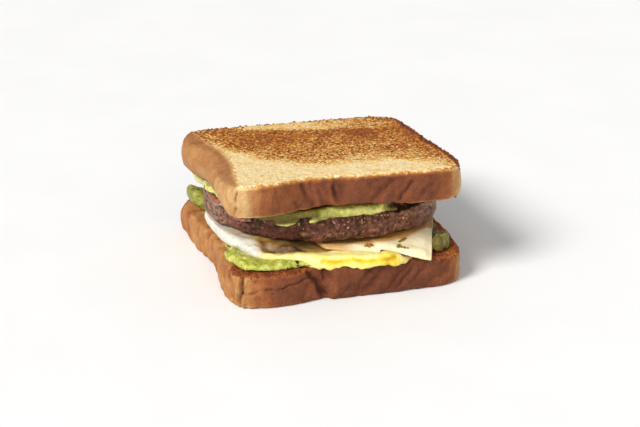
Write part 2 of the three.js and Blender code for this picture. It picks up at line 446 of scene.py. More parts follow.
def egg_material():
    r = Recipe("fried_egg")
    white = r.ramp(r.noise(5, 3), [(0.0, 204, 200, 186), (1.0, 216, 213, 200)])
    brown = r.ramp(r.noise(4, 3), [(0.0, 172, 122, 44), (1.0, 204, 172, 100)])
    white = r.mix(r.painted("shade"), white, brown)
    white = r.coat(white, "dark", 84, 52, 18)
    yolk = r.ramp(r.plus(r.painted("yolk_tone"), (r.noise(2.4, 3, 0.6), 0.16)), [
        (0.0, 204, 150, 12), (0.25, 228, 200, 30), (0.5, 238, 210, 88), (0.8, 244, 228, 140),
        (1.0, 246, 236, 176),
    ])
    colour = r.mix(r.painted("yolk"), white, yolk)
    relief = r.bump(r.plus(r.noise(0.8, 2), (r.noise(2.5, 3), 1.5)), 0.08)
    roughness = r.span(r.noise(2.0, 2), 0, 1, 0.3, 0.5)
    return r.surface(colour, roughness, relief, shine=0.45, glow=(0.2, (1.0, 0.8, 0.4), 0.0015))


def cheese_material():
    r = Recipe("cheese")
    cream = r.ramp(r.plus(0.5, (r.noise(9, 3), 0.6), (r.noise(1.1, 2), 0.15)), [
        (0.0, 236, 219, 172), (0.5, 242, 230, 190), (1.0, 247, 238, 208),
    ])
    # Orange-brown, partly grease and partly painted shade.
    colour = r.coat(cream, "grease_and_shade", 196, 138, 44)
    relief = r.bump(r.plus(r.noise(0.9, 2), (r.noise(6, 2), 2.0)), 0.08)
    roughness = r.span(r.noise(3, 2), 0, 1, 0.35, 0.5)
    return r.surface(colour, roughness, relief, shine=0.4, glow=(0.25, (1.0, 0.8, 0.5), 0.002))


def sausage_material():
    r = Recipe("sausage")
    meat = r.plus(r.painted("tone"), (r.noise(0.8, 3, 0.7), 0.3), (r.noise(2.2, 2), 0.2))
    colour = r.ramp(meat, [
        (0.0, 36, 18, 12), (0.25, 78, 40, 23), (0.5, 113, 69, 43), (0.75, 144, 97, 69),
        (1.0, 182, 144, 112),
    ])
    colour = r.coat(colour, "red", 122, 62, 54)
    colour = r.coat(colour, "grey", 142, 126, 112)
    colour = r.mix(r.span(r.cells(2.1), 0.14, 0.06, 0, 0.45), colour, srgb(198, 164, 136))
    # Painted shade darkens the pits.
    colour = r.coat(colour, "pit_shade", 44, 22, 18)
    relief = r.bump(r.plus(r.noise(0.6, 3, 0.65), (r.noise(1.8, 2), 1.0)), 0.2)
    roughness = r.span(r.noise(1.5, 2), 0, 1, 0.4, 0.65)
    return r.surface(colour, roughness, relief, shine=0.35)


def flap_material():
    r = Recipe("sausage_skin")
    skin = r.ramp(r.noise(1.5, 3), [(0.0, 96, 50, 36), (1.0, 168, 104, 76)])
    colour = r.coat(skin, "rim", 196, 186, 138)
    return r.surface(colour, r.span(r.noise(1.5, 2), 0, 1, 0.35, 0.55), r.bump(r.noise(0.8, 3), 0.15))


def fleck_material(name, dark, light, size=0.5):
    r = Recipe(name)
    colour = r.ramp(r.noise(size, 2), [(0.1, *dark), (0.9, *light)])
    return r.surface(colour, 0.7, r.bump(r.noise(0.25, 2), 0.08), shine=0.15)


# -------- the bread


# How steeply the crust falls beyond a cut face's left edge.
CRUST_SLOPE = 0.26
# How darkly the crust is baked at the back of both slices.
BACK_BAKE = 0.76


def model_slice(clay, edge, left_edge, slope, wrinkles, creases, seed):
    """Gives a slice a wrinkled crust and cut faces of open crumb, which reach down to the depth
    edge and end at left_edge, where the crust slopes down. wrinkles are given as (strength, along,
    width, length, height) and creases as (path, width, height). Returns the depth of each point, a
    mask of the rims and the height of the wrinkles."""
    points = clay.points
    upper = face_plane(clay.node, 1)
    lower = face_plane(clay.node, -1)
    clay.smooth(6)
    # The crust wraps further round the lower face than round the upper one.
    wrap = 0.9
    below = plane_height(upper, points) - points[:, 2]
    depth = np.minimum(below, points[:, 2] - plane_height(lower, points) + wrap)
    depth += 0.35 * noise(points, 2.4, seed + 9)
    beyond = np.interp(points[:, 1], *left_edge) - points[:, 0] + 0.5 * noise(points, 3, seed + 10)
    cut = rise(edge + 0.5, edge - 0.5, depth) * rise(0.5, -0.5, beyond)
    rim = rise(edge - 1.1, edge - 0.2, depth) * rise(edge + 1.6, edge + 0.4, depth)
    rim = np.maximum(rim * (beyond < 0), np.exp(-beyond ** 2) * (depth < edge + 1))
    crust = 1 - cut
    sloping = np.clip(beyond, 0, 9) * rise(8, 0, below)
    points[:, 2] -= slope * sloping

    relief = 0.5 * noise(points, 15, seed) * crust
    folds = np.zeros(clay.count)
    for strength, along, width, length, height in wrinkles:
        waves = streaks(warped(points, 1.5, 9, seed + 1), along, width, length, seed + 3)
        troughs = rise(-0.05, -0.55, waves)
        relief += 0.8 * height * strength * crust * (waves - troughs)
        folds += height * strength * (waves - troughs)
    relief += rim * (0.1 + 0.2 * noise(points, 2.2, seed + 5))

    from_bubble, bubble_tone = cells(points, 2.6, seed + 6)
    pores = rise(0.80, 0.84, bubble_tone) * rise(0.36, 0.14, from_bubble)
    relief -= 0.5 * pores * cut
    relief += (0.14 * noise(points, 1.3, seed + 7) + 0.16 * noise(points, 5, seed + 8)) * cut

    valleys = np.zeros(clay.count)
    bent = warped(points, 0.9, 5, seed + 11)
    for path, width, height in creases:
        distance = distance_to_path(bent, path)
        groove = np.exp(-(distance / width) ** 2)
        valleys = np.maximum(valleys, groove * min(1, height / 1.6))
        relief -= height * groove * crust
        relief += 0.3 * height * np.exp(-((distance - 2.2 * width) / width) ** 2) * crust
    clay.push(relief)
    points[:, 2] = np.maximum(points[:, 2], 0)

    hollow = clay.hollowness(4)
    clay.paint("cut", cut)
    # The pores are painted dark, as painted shade in their holes.
    clay.paint("pore_shade", pores * cut * 0.7)
    # The crust is painted dark in its creases and hollows, as painted shade.
    clay.paint("crease_shade", crust * (0.55 * valleys ** 1.5 + 0.35 * rise(0.10, 0.35, hollow)))
    return depth, rim, folds


def by_side(normals, front, back, left, right):
    """A mix of four values by which way each point faces, the left one where it faces up or down."""
    directions = ((0, -1), (0, 1), (-1, 0), (1, 0))
    shares = [facing(normals, *direction) ** 2 for direction in directions]
    shares[2] = shares[2] + 0.02
    total = sum(shares) + 1e-6  # never zero
    return sum(share * value for share, value in zip(shares, (front, back, left, right))) / total


def crust_sides(normals):
    """Masks of the front, of the left, and of the back and right together."""
    others = np.maximum(facing(normals, 0, 1), facing(normals, 1, 0))
    return facing(normals, 0, -1) ** 0.5, facing(normals, -1, 0) ** 0.5, others ** 0.5


def top_bread(material):
    clay = Clay("bread_top_slice", voxel=0.61, node="bread_top")
    x, y, z = clay.points.T
    normals = clay.normals()
    front, left, others = crust_sides(normals)
    wrinkles = [
        (front * rise(-42, -30, x) * rise(6, -6, x), (1, 0, -1.8), 3.4, 24, 0.36),
        (front * rise(-6, 6, x) * rise(52, 40, x), (1, 0, 1.1), 4.4, 24, 0.26),
        (left * rise(10, -20, y), (0, 0.2, 1), 5.5, 22, 0.6),
        (left, (0, 0.35, 1), 3.4, 20, 0.16),
        (others, (0.3, 0.3, 1), 3.6, 20, 0.35),
    ]
    creases = [
        ([(-9.7, -55.6, 56.5), (-8, -55.8, 52.3), (-5.8, -55.5, 45)], 1.0, 1.5),
        ([(-55.2, -57.6, 63), (-55.6, -57.9, 57), (-56.2, -56.6, 46)], 0.65, 1.0),
        ([(-57.4, -31, 61), (-58.6, -37, 57.9), (-59.4, -42.5, 53.5)], 1.1, 0.7),
        ([(18, -58.9, 57.5), (14.8, -59.2, 54.5), (10, -58.7, 49)], 1.4, 0.75),
        ([(27.5, -59.6, 55.4), (25, -59.5, 52.5), (22.6, -59.2, 48.5)], 1.2, 0.85),
        ([(36.5, -59.9, 53.5), (33.5, -59.8, 50.7), (31, -59.5, 48)], 1.3, 0.5),
        ([(-23.5, -54.9, 58), (-20.7, -55, 53), (-18.4, -54.8, 47.5)], 1.1, 0.6),
        ([(-17, -55.4, 57), (-14.7, -55.4, 51.5), (-12.5, -55, 47.5)], 1.1, 0.7),
    ]
    left_edge = (
        (-56, -45, -38, -21, -6, 5, 16, 46, 56),
        (-54, -53, -51.5, -48.4, -47, -47.5, -48.8, -50.5, -52),
    )
    # The lower edge of the crust is lifted over the mash that bulges out at the front.
    lift = rise(-21, -14, x) * rise(30, 5, x) * rise(-46, -52, y)
    clay.points[:, 2] += 1.5 * (lift * rise(51, 45, z))
    slope = CRUST_SLOPE * rise(56, 28, y)
    depth, rim, folds = model_slice(clay, 0.9, left_edge, slope, wrinkles, creases, 11)

    # The toaster browned a band across the slice and left strips before and behind it pale.
    drift = 5 * noise(clay.points, 18, 21) + 3 * noise(clay.points, 6, 22)
    band_back = np.interp(x, (-45, -20, 0, 42), (60, 41, 34, 26))
    band_front = np.interp(x, (-50, -38, -28, -18, 30), (24, 2, -17, -25, -27))
    band = rise(band_back + 6, band_back - 5, y + drift)
    fading_left = 0.55 + 0.45 * rise(-56, -38, x + 0.3 * drift)
    band *= rise(band_front - 17, band_front + 12, y + drift) * fading_left
    darkest = np.exp(-((x + 18) / 26) ** 2 - ((y - 12) / 16) ** 2)
    gold = rise(16, 40, x + 0.2 * y + drift) * rise(-59, -42, y + 0.3 * (x - 40))
    toast = 0.10 + band * (0.44 - 0.24 * rise(20, 44, x)) + 0.09 * darkest + 0.27 * gold
    toast += 0.10 * rise(0, 30, y)
    toast += 0.55 * rise(51, 53.8, x - 0.25 * drift)
    toast += 0.10 * rise(42, 50, x) + 0.24 * rim + 0.5 * rise(51, 52.6, y + 0.2 * drift)
    clay.paint("toast", toast)

    # Towards the right end the crust is painted paler, partly its paler shoulder and partly painted light
    # where the lamps leave that end in shade.
    front_bake = np.interp(
        x, (-57, -52, -48, -44, -36, -28, -16, 36, 45, 52, 56),
        (0.05, 0.19, 0.42, 0.66, 0.74, 0.78, 0.85, 0.90, 0.74, 0.2, 0.0),
    )
    left_bake = np.interp(y, (-50, 10), (0.34, 0.42))
    right_bake = np.interp(y, (-54, -38), (0.04, 0.34))
    bake = by_side(normals, front_bake, BACK_BAKE, left_bake, right_bake)
    top_left = facing(normals, -1, 0) * rise(20, 50, y) * rise(3.5, 1, depth)
    # Along the rim the crust is painted paler, partly its pale edge and partly a painted highlight. The
    # wrinkles are painted lighter on their ridges and darker in their troughs, as painted light and
    # shade.
    clay.paint("bake", bake + 0.30 * top_left - 0.25 * rim * (1 - top_left) - 0.07 * folds)
    clay.finish(material)
    return clay, rim, toast


def bottom_bread(material):
    clay = Clay("bread_bottom_slice", voxel=0.66, node="bread_bottom")
    x, y, z = clay.points.T
    normals = clay.normals()
    front, left, others = crust_sides(normals)
    wrinkles = [
        (front * rise(-18, -26, x) * rise(-54, -44, x), (1, 0, 0.4), 3.2, 24, 0.2),
        (front * rise(-20, -8, x), (1, 0, 0.9), 4.2, 20, 0.45),
        (facing(normals, -1, 0, 0.3) ** 0.5, (0, 0.25, 1), 5, 16, 1.0),
        (left, (0, 0.3, 1), 2.4, 12, 0.4),
        (others, (0.3, 0.3, 1), 3.6, 20, 0.35),
    ]
    creases = [
        ([(-21.5, -56.4, 16.4), (-19.6, -56, 13.5), (-16.4, -54.9, 9.1), (-12.4, -54.5, 0)], 1.3, 1.9),
        (
            [(-53, -54, 7.7), (-46.6, -56.8, 8.4), (-43.9, -57.5, 9.2), (-35.5, -58, 9.8),
             (-27.8, -57.6, 10.7), (-22.7, -57, 12.5), (-19.6, -56, 14)],
            0.55, 0.8,
        ),
        ([(-52.6, -53.4, 16.5), (-53.1, -53.8, 11.7), (-53.5, -53.4, 0)], 1.0, 2.2),
        ([(8.5, -57, 13), (4.3, -57.3, 8), (2, -57, 4)], 1.2, 0.5),
        ([(29, -57.1, 11.5), (25.5, -57.2, 7.3), (22, -57, 3)], 1.2, 0.8),
    ]
    left_edge = ((-56, -45, -38, 20, 50), (-60, -56.5, -50.5, -49, -49))
    raised = rise(44, 53, x) * rise(-46, -26, y) * rise(8, 15, z)
    clay.points[:, 2] += (1.4 + 0.5 * noise(clay.points, 5, 30)) * raised
    toasted_depth = 1.7 - 1.4 * rise(-27, -20, x) * rise(42, 36, x)
    _, rim, folds = model_slice(clay, toasted_depth, left_edge, CRUST_SLOPE, wrinkles, creases, 31)
    # Towards the right end the crust is painted paler, partly its paler shoulder and partly painted light
    # where the lamps leave that end in shade.
    front_bake = np.interp(
        x, (-57, -46, -32, -18, 0, 34, 48, 57), (0.36, 0.62, 0.86, 0.90, 0.92, 0.89, 0.80, 0.3),
    )
    right_bake = np.interp(y, (-52, -36), (0.26, 0.42))
    bake = by_side(normals, front_bake, BACK_BAKE, 0.46, right_bake)
    # The wrinkles are painted lighter on their ridges and darker in their troughs, as painted light and
    # shade. The crust is also paler along the rim at the left front.
    clay.paint("bake", bake - 0.14 * rim * rise(-18, -30, x) - 0.07 * folds)
    clay.paint("toast", 0.92 - 0.08 * rim - 0.13 * rise(40, 50, x))
    clay.finish(material)
    return clay, rim


# -------- the filling


def patty(material):
    clay = Clay("sausage_patty_meat", voxel=0.65, node="sausage_patty")
    clay.smooth(5)
    points = clay.points
    x, y, z = points.T
    # At the front right its upper edge sags, which leaves a dark gap under the bread.
    sagging = np.interp(x, (12, 20, 27, 34, 40, 46), (0, 2.0, 2.3, 2.2, 1.7, 0))
    outer = rise(44, 51, from_above(points, PATTY_MIDDLE)) * rise(-8, -22, y)
    points[:, 2] -= sagging * rise(30, 35, z) * outer
    points = points.copy()
    curdled = warped(points, 1.6, 4, 40)
    grains = noise(curdled, 1.9, 41)
    gristle = noise(curdled, 3.4, 42)
    relief = noise(points, 19, 43) + 0.5 * noise(points, 8, 44)
    relief += 0.30 * gristle + 0.26 * grains + 0.35 * noise(points, 1.5, 48) * rise(34, 42, x)
    nooks = rise(-0.45, -0.85, noise(curdled, 2.2, 45))
    relief -= 0.45 * nooks
    clay.push(relief - 0.25)
    hollow = clay.hollowness(3)
    x, y, z = points.T
    low = rise(31, 25, z + 0.05 * y) * facing(clay.normals(), -0.2, -1) ** 0.5
    right = rise(-5, 40, x)
    left = rise(-15, -45, x)
    drawn = streaks(warped(points, 2, 6, 49), (1, 0, 0.15), 2.2, 9, 50)
    # The meat is painted lighter towards the right as painted light, where the lamps leave that end in
    # shade, and darker in its hollows as painted shade.
    tone = 0.37 + 0.30 * right - 0.10 * left + 0.15 * gristle + 0.18 * grains + 0.15 * drawn
    tone -= 0.6 * hollow
    fibres = streaks(warped(points, 1, 5, 53), (0, 1, 0.3), 0.9, 6, 54) * rise(-38, -50, x)
    clay.paint("tone", tone + 0.3 * fibres + 0.28 * rise(-44, -53, x))
    # Hollows and nooks are painted dark as painted shade, and so are the upward faces in the gap under
    # the bread at the front right.
    gap = rise(0.5, 0.8, clay.normals()[:, 2]) * rise(12, 18, x) * rise(46, 42, x)
    gap *= rise(28, 31, z) * outer
    pits = 0.65 * np.maximum(rise(0.12, 0.40, hollow), 0.6 * nooks)
    clay.paint("pit_shade", np.maximum(pits, 0.95 * gap))
    clay.paint("red", 0.55 * rise(-0.05, 0.4, noise(points, 9, 46)) * (0.4 + 0.6 * low))
    grey = 0.8 * rise(34, 48, x) * rise(-0.2, 0.3, noise(curdled, 2.8, 47))
    clay.paint("grey", grey + 0.7 * rise(-49, -54, x) * rise(-0.1, 0.4, fibres))
    clay.finish(material)
    return clay


def mash(node, name, material, seed, blobs, shades, pressed=None):
    """One layer of mashed avocado, made from a CAD node and blobs. shades gives the tone, the
    olive_and_shade share and the pale_and_highlight share for an array of points, and pressed
    how far they lie below the node."""
    clay = Clay(name, 0.55, node, blobs)
    clay.smooth(3)
    if pressed is not None:
        clay.points[:, 2] -= pressed(clay.points)
    points = clay.points.copy()
    churned = warped(points, 1.2, 4, seed)
    from_lump, lump_tone = cells(churned, 2.8, seed + 2)
    relief = 0.5 * (0.5 - from_lump) + 0.45 * noise(points, 8, seed + 3)
    clay.push(relief + 0.22 * noise(churned, 1.8, seed + 4))
    clay.smooth(1)
    hollow = clay.hollowness(4)
    tone, olive_and_shade, pale_and_highlight = shades(points)
    # Hollows are painted darker and a deeper green, as painted shade.
    clay.paint("tone", tone + 0.25 * (lump_tone - 0.5) - 0.7 * hollow)
    clay.paint("olive_and_shade", np.maximum(olive_and_shade, 0.6 * rise(0.08, 0.5, hollow)))
    clay.paint("pale_and_highlight", pale_and_highlight)
    clay.finish(material)
    return clay


# The two lobes at the right, shaped like leaves, as (centre, radius, height).
LEAVES = [((43.8, -50.5, 20.2), 3.2, 4.4), ((48.7, -43.6, 20.9), 2.7, 2.5)]


def lower_mash(material):
    rear_lobe = [(-53, 41, 21.5), (-52, 35, 22), (-50.5, 31, 21.5)]
    pale_bit = [(44.5, -40, 21.6), (43.8, -37, 22.6)]
    left_lobe = [(-54.2, -30, 19), (-53.8, -34.5, 19), (-50.5, -41, 19.4), (-46, -46.5, 19.8)]
    front_rim = [(-39.5, -51.6, 18), (-36, -52.4, 18.2), (-31, -52.6, 18.3), (-24, -52.6, 18.4)]
    blobs = LEAVES + chain(rear_lobe, [3.6, 4.2, 3.2], 0.95)
    blobs += chain(pale_bit, [1.2, 1.0], 1.2)
    blobs += chain(left_lobe, [1.2, 2.2, 3.3, 3.0])
    blobs += chain(front_rim, [1.6, 1.9, 1.9, 1.5])
    # The lobes get a painted highlight along the outline that shows from the front, and are painted
    # darker green as shade.
    to_viewer = (-0.27, -0.89, 0.36)

    def shades(points):
        olive_and_shade = np.zeros(len(points))
        pale_and_highlight = olive_and_shade.copy()
        for centre, radius, height in LEAVES:
            local = (points - centre) / (radius, radius, height)
            reach = np.linalg.norm(local, axis=1)
            near = rise(1.5, 1.15, reach)
            rim = np.linalg.norm(np.cross(local, to_viewer), axis=1)
            olive_and_shade = np.maximum(olive_and_shade, near)
            pale_and_highlight = np.maximum(pale_and_highlight, 0.75 * near * rise(0.86, 0.98, rim))
        olive_and_shade = np.maximum(olive_and_shade, 0.8 * rise(20, 30, points[:, 0]))
        olive_and_shade = np.maximum(olive_and_shade, 0.42 * rise(15, 25, points[:, 1]))
        pale_and_highlight = np.maximum(pale_and_highlight, 0.6 * near_path(points, pale_bit, 1.8))
        tone = 0.33 + 0.15 * rise(20, -30, points[:, 1])
        return tone, olive_and_shade, pale_and_highlight

    def pressed(points):
        above_bread = np.clip(points[:, 2] - 16.6, 0, 9)
        shares = [np.linalg.norm(points - centre, axis=1) / radius for centre, radius, _ in LEAVES]
        beside_lobes = rise(1.3, 1.8, np.min(shares, axis=0))
        return above_bread * 0.8 * rise(39, 44, points[:, 0]) * beside_lobes

    return mash("avocado_lower", "avocado_mash_lower", material, 71, blobs, shades, pressed)


def upper_mash(material):
    # Lumps squeezed out at the front, painted bright as painted light, as (X, Z, radius).
    lit = [
        (-19, 38.6, 0.9), (-16.4, 40.2, 1.9), (-13.6, 41.9, 2.8), (-9.4, 42.3, 2.6), (-4.6, 42.2, 2.6),
        (0.7, 41.8, 2.2), (6.5, 41.3, 1.9), (11, 41.0, 1.7), (14.9, 40.8, 1.1),
    ]
    lit_path = [(x, -50.9, z) for x, z, _ in lit]
    strip = [(-43, -42.5, 41.3), (-38, -46, 41.1), (-31, -48.6, 41.2), (-26, -49, 41.6), (-21, -49, 41.8)]
    ring = [
        (-34.8, -48, 39.6), (-34.2, -48, 38.2), (-32, -48.3, 37.5), (-29, -48.4, 37.7),
        (-26, -48, 38.3), (-23.8, -47.5, 39.8),
    ]
    blobs = chain(lit_path, [radius for _, _, radius in lit], 1.25)
    blobs += chain(strip, [1.8, 2.2, 2.4, 2.2, 1.6], 0.8)
    blobs += chain(ring, [1.15] * 6, 1.0)
    right_bits = [(16.5, -48.5, 40), (20, -48, 39.7), (23.6, -47.5, 39.3)]
    rear_bits = [(-53.5, 42, 33.6), (-53.5, 34, 34.6), (-53.3, 25, 35.3), (-53.0, 15, 37)]
    left_bits = [
        (-54.3, 5, 39), (-54.3, 0, 39.8), (-53, -7, 40.8), (-52.5, -14, 41.3), (-51.5, -19, 41.8),
    ]
    blobs += chain(right_bits, [1.3, 1.4, 1.1], 0.9)
    blobs += chain(rear_bits, [0.8, 1.4, 2.2, 1.2])
    blobs += chain(left_bits, [1.6, 2.0, 1.2, 1.1, 0.8])

    def shades(points):
        x, y, z = points.T
        # The lumps and the lower rims of the drops are painted bright as painted light, and the rest
        # darker green as painted shade, save the lighter bits at the left.
        lump = near_path(points, lit_path[:2], 1.8)
        lump = np.maximum(lump, near_path(points, lit_path[2:], 3.2) * rise(-17.5, -14, x))
        drops = near_path(points, ring[1:5], 1.5) * rise(38.6, 37.6, z)
        bits = rise(-49.5, -52, x)
        olive_and_shade = 0.95 * (1 - np.maximum(np.maximum(lump, drops), bits))
        tone = 0.30 + 0.78 * np.maximum(lump, drops) + 0.3 * bits
        return tone, olive_and_shade, 0.5 * bits * rise(42, 20, y) * rise(6, 14, y) + 0.3 * bits

    mash("avocado_upper", "avocado_mash_upper", material, 81, blobs, shades)


def egg(material):
    clay = Clay("fried_egg_folded", voxel=0.5, node="fried_egg")
    clay.smooth(5)
    points = clay.points
    x, y, z = points.T

    # The rim at the front hangs over the bread in scallops.
    front = rise(-48, -56, y) * rise(20.5, 17.5, z)
    scallop = 1.0 + 0.9 * noise(points * (1, 1, 0), 8, 52) + 0.5 * noise(points * (1, 1, 0), 3, 53)
    hang = 1.7 * np.clip(scallop, 0.1, 2.2) * rise(-27, -16, x) * rise(36, 26, x)
    points[:, 2] -= front * hang

    lip = [(-51.5, -17, 20.8), (-49.4, -23.1, 23.3), (-46.8, -27, 23.7), (-45.4, -31.5, 23.2)]
    under_lip = [(-51, -17.5, 19.0), (-49.4, -25, 20.8), (-48, -31, 21.3), (-45.4, -33.5, 21.4)]
    ridge = [(-43.6, -31.1, 23.3), (-39.5, -31, 22.9), (-33, -32, 22.3), (-27.4, -35, 22.1)]
    ruffle = [
        (-45.8, -37.5, 22), (-42.4, -38.1, 23.4), (-40.2, -40.6, 23.1), (-40.4, -44.2, 22.8),
        (-42.5, -45.3, 21.4), (-45.3, -41, 20.9),
    ]
    pocket = [
        (-38.5, -38, 22.8), (-36.5, -43, 22.2), (-33.5, -46, 22), (-29, -45.4, 22), (-24, -46, 22.2),
        (-18, -46, 22.3), (-11, -47, 22.2),
    ]
    orange_fold = [(-41, -47.5, 21.8), (-39.6, -51.4, 21), (-36.5, -52.4, 20.8), (-33.6, -51.6, 21)]
    left_valley = [(-13.5, -55.4, 19.8), (-10, -56.4, 18.8), (-6.5, -57.3, 19), (-2, -58.4, 19.4)]
    right_valley = [
        (-0.1, -58.6, 20.3), (3.6, -59.4, 18.8), (8.1, -60.3, 18.9), (12, -60.6, 19.3),
        (20, -59.6, 19.7),
    ]
    crest = np.interp(
        x, (-38, -32, -25.6, -17.8, -9.4, -0.3, 6.6, 13.5, 22.4),
        (-45.5, -46.9, -48.1, -48, -49.2, -52.2, -53.8, -56.4, -58.4),
    )
    # Under the patty's edge the egg reaches up to the meat.
    outwards = from_above(points, PATTY_MIDDLE)
    patty_under = face_plane("sausage_patty", -1)
    room = plane_height(patty_under, points) - 0.6 - z
    raised = np.clip(room, 0, 2.8) * rise(60.5, 56, outwards) * rise(-20, -27, x)
    points[:, 2] += raised * rise(20, 22, z) * rise(0, 3, y - crest)
    under_cheese = rise(13, 15.5, x) * rise(38, 28, x) * rise(-63, -59, y)
    points[:, 2] += under_cheese * rise(18, 19.5, z)
    wobbly = warped(points, 0.8, 5, 54)
    deep = np.maximum(near_path(wobbly, left_valley, 1.6), near_path(wobbly, right_valley, 1.4))
    sunk = near_path(wobbly, pocket, 2.0)
    fold = near_path(wobbly, orange_fold, 0.9)
    shaded = near_path(wobbly, under_lip, 1.1)
    relief = 0.5 * noise(points, 11, 57) + 0.25 * noise(points, 4.5, 58)
    relief += 1.1 * near_path(wobbly, lip, 1.2) + near_path(wobbly, ridge, 1.0)
    relief += near_path(wobbly, ruffle, 1.0)
    relief -= 1.1 * deep + 1.4 * sunk + 0.9 * fold + shaded
    points[:, 2] -= 1.1 * rise(0.5, 2.5, y - crest) * rise(-14, -8, x) * rise(18, 19, z)
    clay.push(relief)
    clay.smooth(2)

    hollow = clay.hollowness(5)
    x, y, z = clay.points.T
    ragged = 2.0 * noise(clay.points, 6, 60)
    right = rise(-44, -39, x + ragged)
    before = rise(1.6, -0.4, y - crest - 0.4 * ragged)
    stained = near_path(clay.points[:, :2], [(-45.5, -45.5), (-41, -46), (-37, -50)], 2.0)
    clay.paint("yolk", np.maximum(right * before, 0.75 * stained * rise(23, 20.5, z)))
    # The egg is painted brown near the meat, partly a grease stain and partly painted shade, and darkest,
    # as painted shade, where it goes under it.
    reach = from_above(clay.points, (0.9, 6.2))
    stain_and_shade = 0.6 * rise(58.5, 55.5, reach + ragged) * rise(-10, -24, y)
    hidden = 0.95 * right * (1 - before) * (1 - 0.7 * near_path(clay.points, ridge, 1.2))
    clay.paint("shade", np.maximum(np.maximum(stain_and_shade, hidden), 0.4 * np.maximum(shaded, sunk)))
    # The pocket under the meat is painted dark, as painted shade.
    brink = near_path(clay.points, [(-38.5, -36.5), (-37.3, -41), (-35.5, -44.5)], 1.6)
    behind_crest = rise(6.5, 3, y - crest) * rise(-38, -36, x) * rise(-14, -24, x)
    brink = np.maximum(brink, behind_crest)
    under_meat = 0.45 * rise(54.6, 52.6, reach)
    clay.paint("dark", 0.95 * np.maximum(brink, under_meat) * hidden)
    # The yolk is painted deeper in its valleys and folds, partly a deeper yolk there and partly painted
    # shade, and darker in hollows, low down and under the cheese's edge, as painted shade.
    cheese_shade = near_path(wobbly, [(14, -58.5), (19, -60), (25, -61.5)], 1.6)
    tone = 0.80 - 0.62 * deep - 0.5 * fold - 0.32 * cheese_shade
    tone = tone - 0.4 * rise(0.08, 0.4, hollow) - 0.12 * rise(18, 16, z)
    clay.paint("yolk_tone", tone)
    clay.finish(material)


def cheese(material):
    clay = Clay("cheese_slice_melted", voxel=0.5, node="cheese_slice")
    clay.smooth(3)
    points = clay.points
    x, y = points[:, :2].T.copy()
    torn = rise(13.6, 12.2, x + 0.15 * (y + 45)) * rise(-20, -34, y)
    # The slice is thin along its two front edges.
    turn = math.radians(20.5)
    corner_x, corner_y = 36.5, -63.5
    from_front = (x - corner_x) * math.sin(turn) + (y - corner_y) * math.cos(turn)
    from_right = (corner_x - x) * math.cos(turn) + (y - corner_y) * math.sin(turn)
    thin = rise(5, 1, np.minimum(from_front, from_right))
    rising = clay.normals()[:, 2]
    points[:, 2] += thin * (0.35 * (1 - rising) - 0.5 * (1 + rising))
    points[:, 2] -= (1 - torn) * rise(7, 0, from_front) * np.interp(x, (14, 28, 36), (0.9, 1.3, 0.5))
    # The line along which the patty's edge rests on the cheese.
    contact_line = ((-13, 0, 13, 27, 45), (-45.5, -47.5, -49, -45.5, -33))
    before_contact = np.interp(x, *contact_line) + 2 - y
    points[:, 2] -= torn * (0.4 + 0.36 * np.clip(before_contact, 0, 8))
    points[:, 1] += (12 * rise(-10, -15, x) - 2.2 - 2 * rise(8, -4, x)) * torn
    clay.push(0.3 * noise(points, 14, 61) + 0.12 * noise(points, 4, 62))
    clay.smooth(2)
    # Behind the patty's edge and on the torn strip the cheese is painted orange-brown, partly grease and
    # partly painted shade; its thin side faces get a little of it as painted shade.
    x, y = clay.points[:, :2].T
    behind_contact = y - np.interp(x, *contact_line)
    grease_and_shade = rise(-1.8, 1.5, behind_contact + 0.8 * noise(clay.points, 5, 63))
    grease_and_shade = np.maximum(0.85 * grease_and_shade, 0.75 * torn * rise(7, -5, x))
    clay.paint("grease_and_shade", np.maximum(grease_and_shade, 0.25 * thin * rise(0.7, 0.3, rising)))
    clay.finish(material)
    return clay


def meat_flaps(material):
    """Two folds of the patty's skin, on its edge under the left side of the top slice."""
    first = [(-53.5, 3.5, 36.3), (-54, -4, 36.8), (-53.7, -13, 38.2), (-52.5, -22, 40.3)]
    second = [(-49.6, -21.7, 36.1), (-48.1, -24.2, 34.3), (-45.3, -27.5, 33.6), (-42.3, -30.2, 34.1)]
    blobs = chain(first, [1.3, 2.0, 2.2, 1.2], 0.75) + chain(second, [1.0, 1.7, 1.9, 1.2], 0.6)
    clay = Clay("sausage_skin_flaps", voxel=0.4, blobs=blobs)
    clay.smooth(2)
    clay.push(0.3 * noise(clay.points, 4, 65) + 0.15 * noise(clay.points, 1.8, 66))
    height = np.interp(clay.points[:, 1], (-22, -13, -4, 3.5), (40, 37.7, 36.3, 35.9))
    below = clay.points[:, 2] - height + 0.5 * noise(clay.points, 2.2, 67)
    clay.paint("rim", rise(0.2, -0.9, below) * rise(-50.3, -51.3, clay.points[:, 0]))
    clay.finish(material)


# -------- crumbs and flecks


def settle(clay, likelihood, count, radii, seed, lift=0.2):
    """Places for chips on the clay, drawn at random by likelihood, as (centre, radius, normal).
    radii are the least and greatest, and lift is how far a centre stands above the clay, as a
    share of the radius."""
    random = np.random.default_rng(seed)
    normals = clay.normals()
    places = []
    for index in random.choice(clay.count, count, p=likelihood / likelihood.sum()):
        radius = random.uniform(*radii)
        places.append((clay.points[index] + normals[index] * radius * lift, radius, normals[index]))
    return places


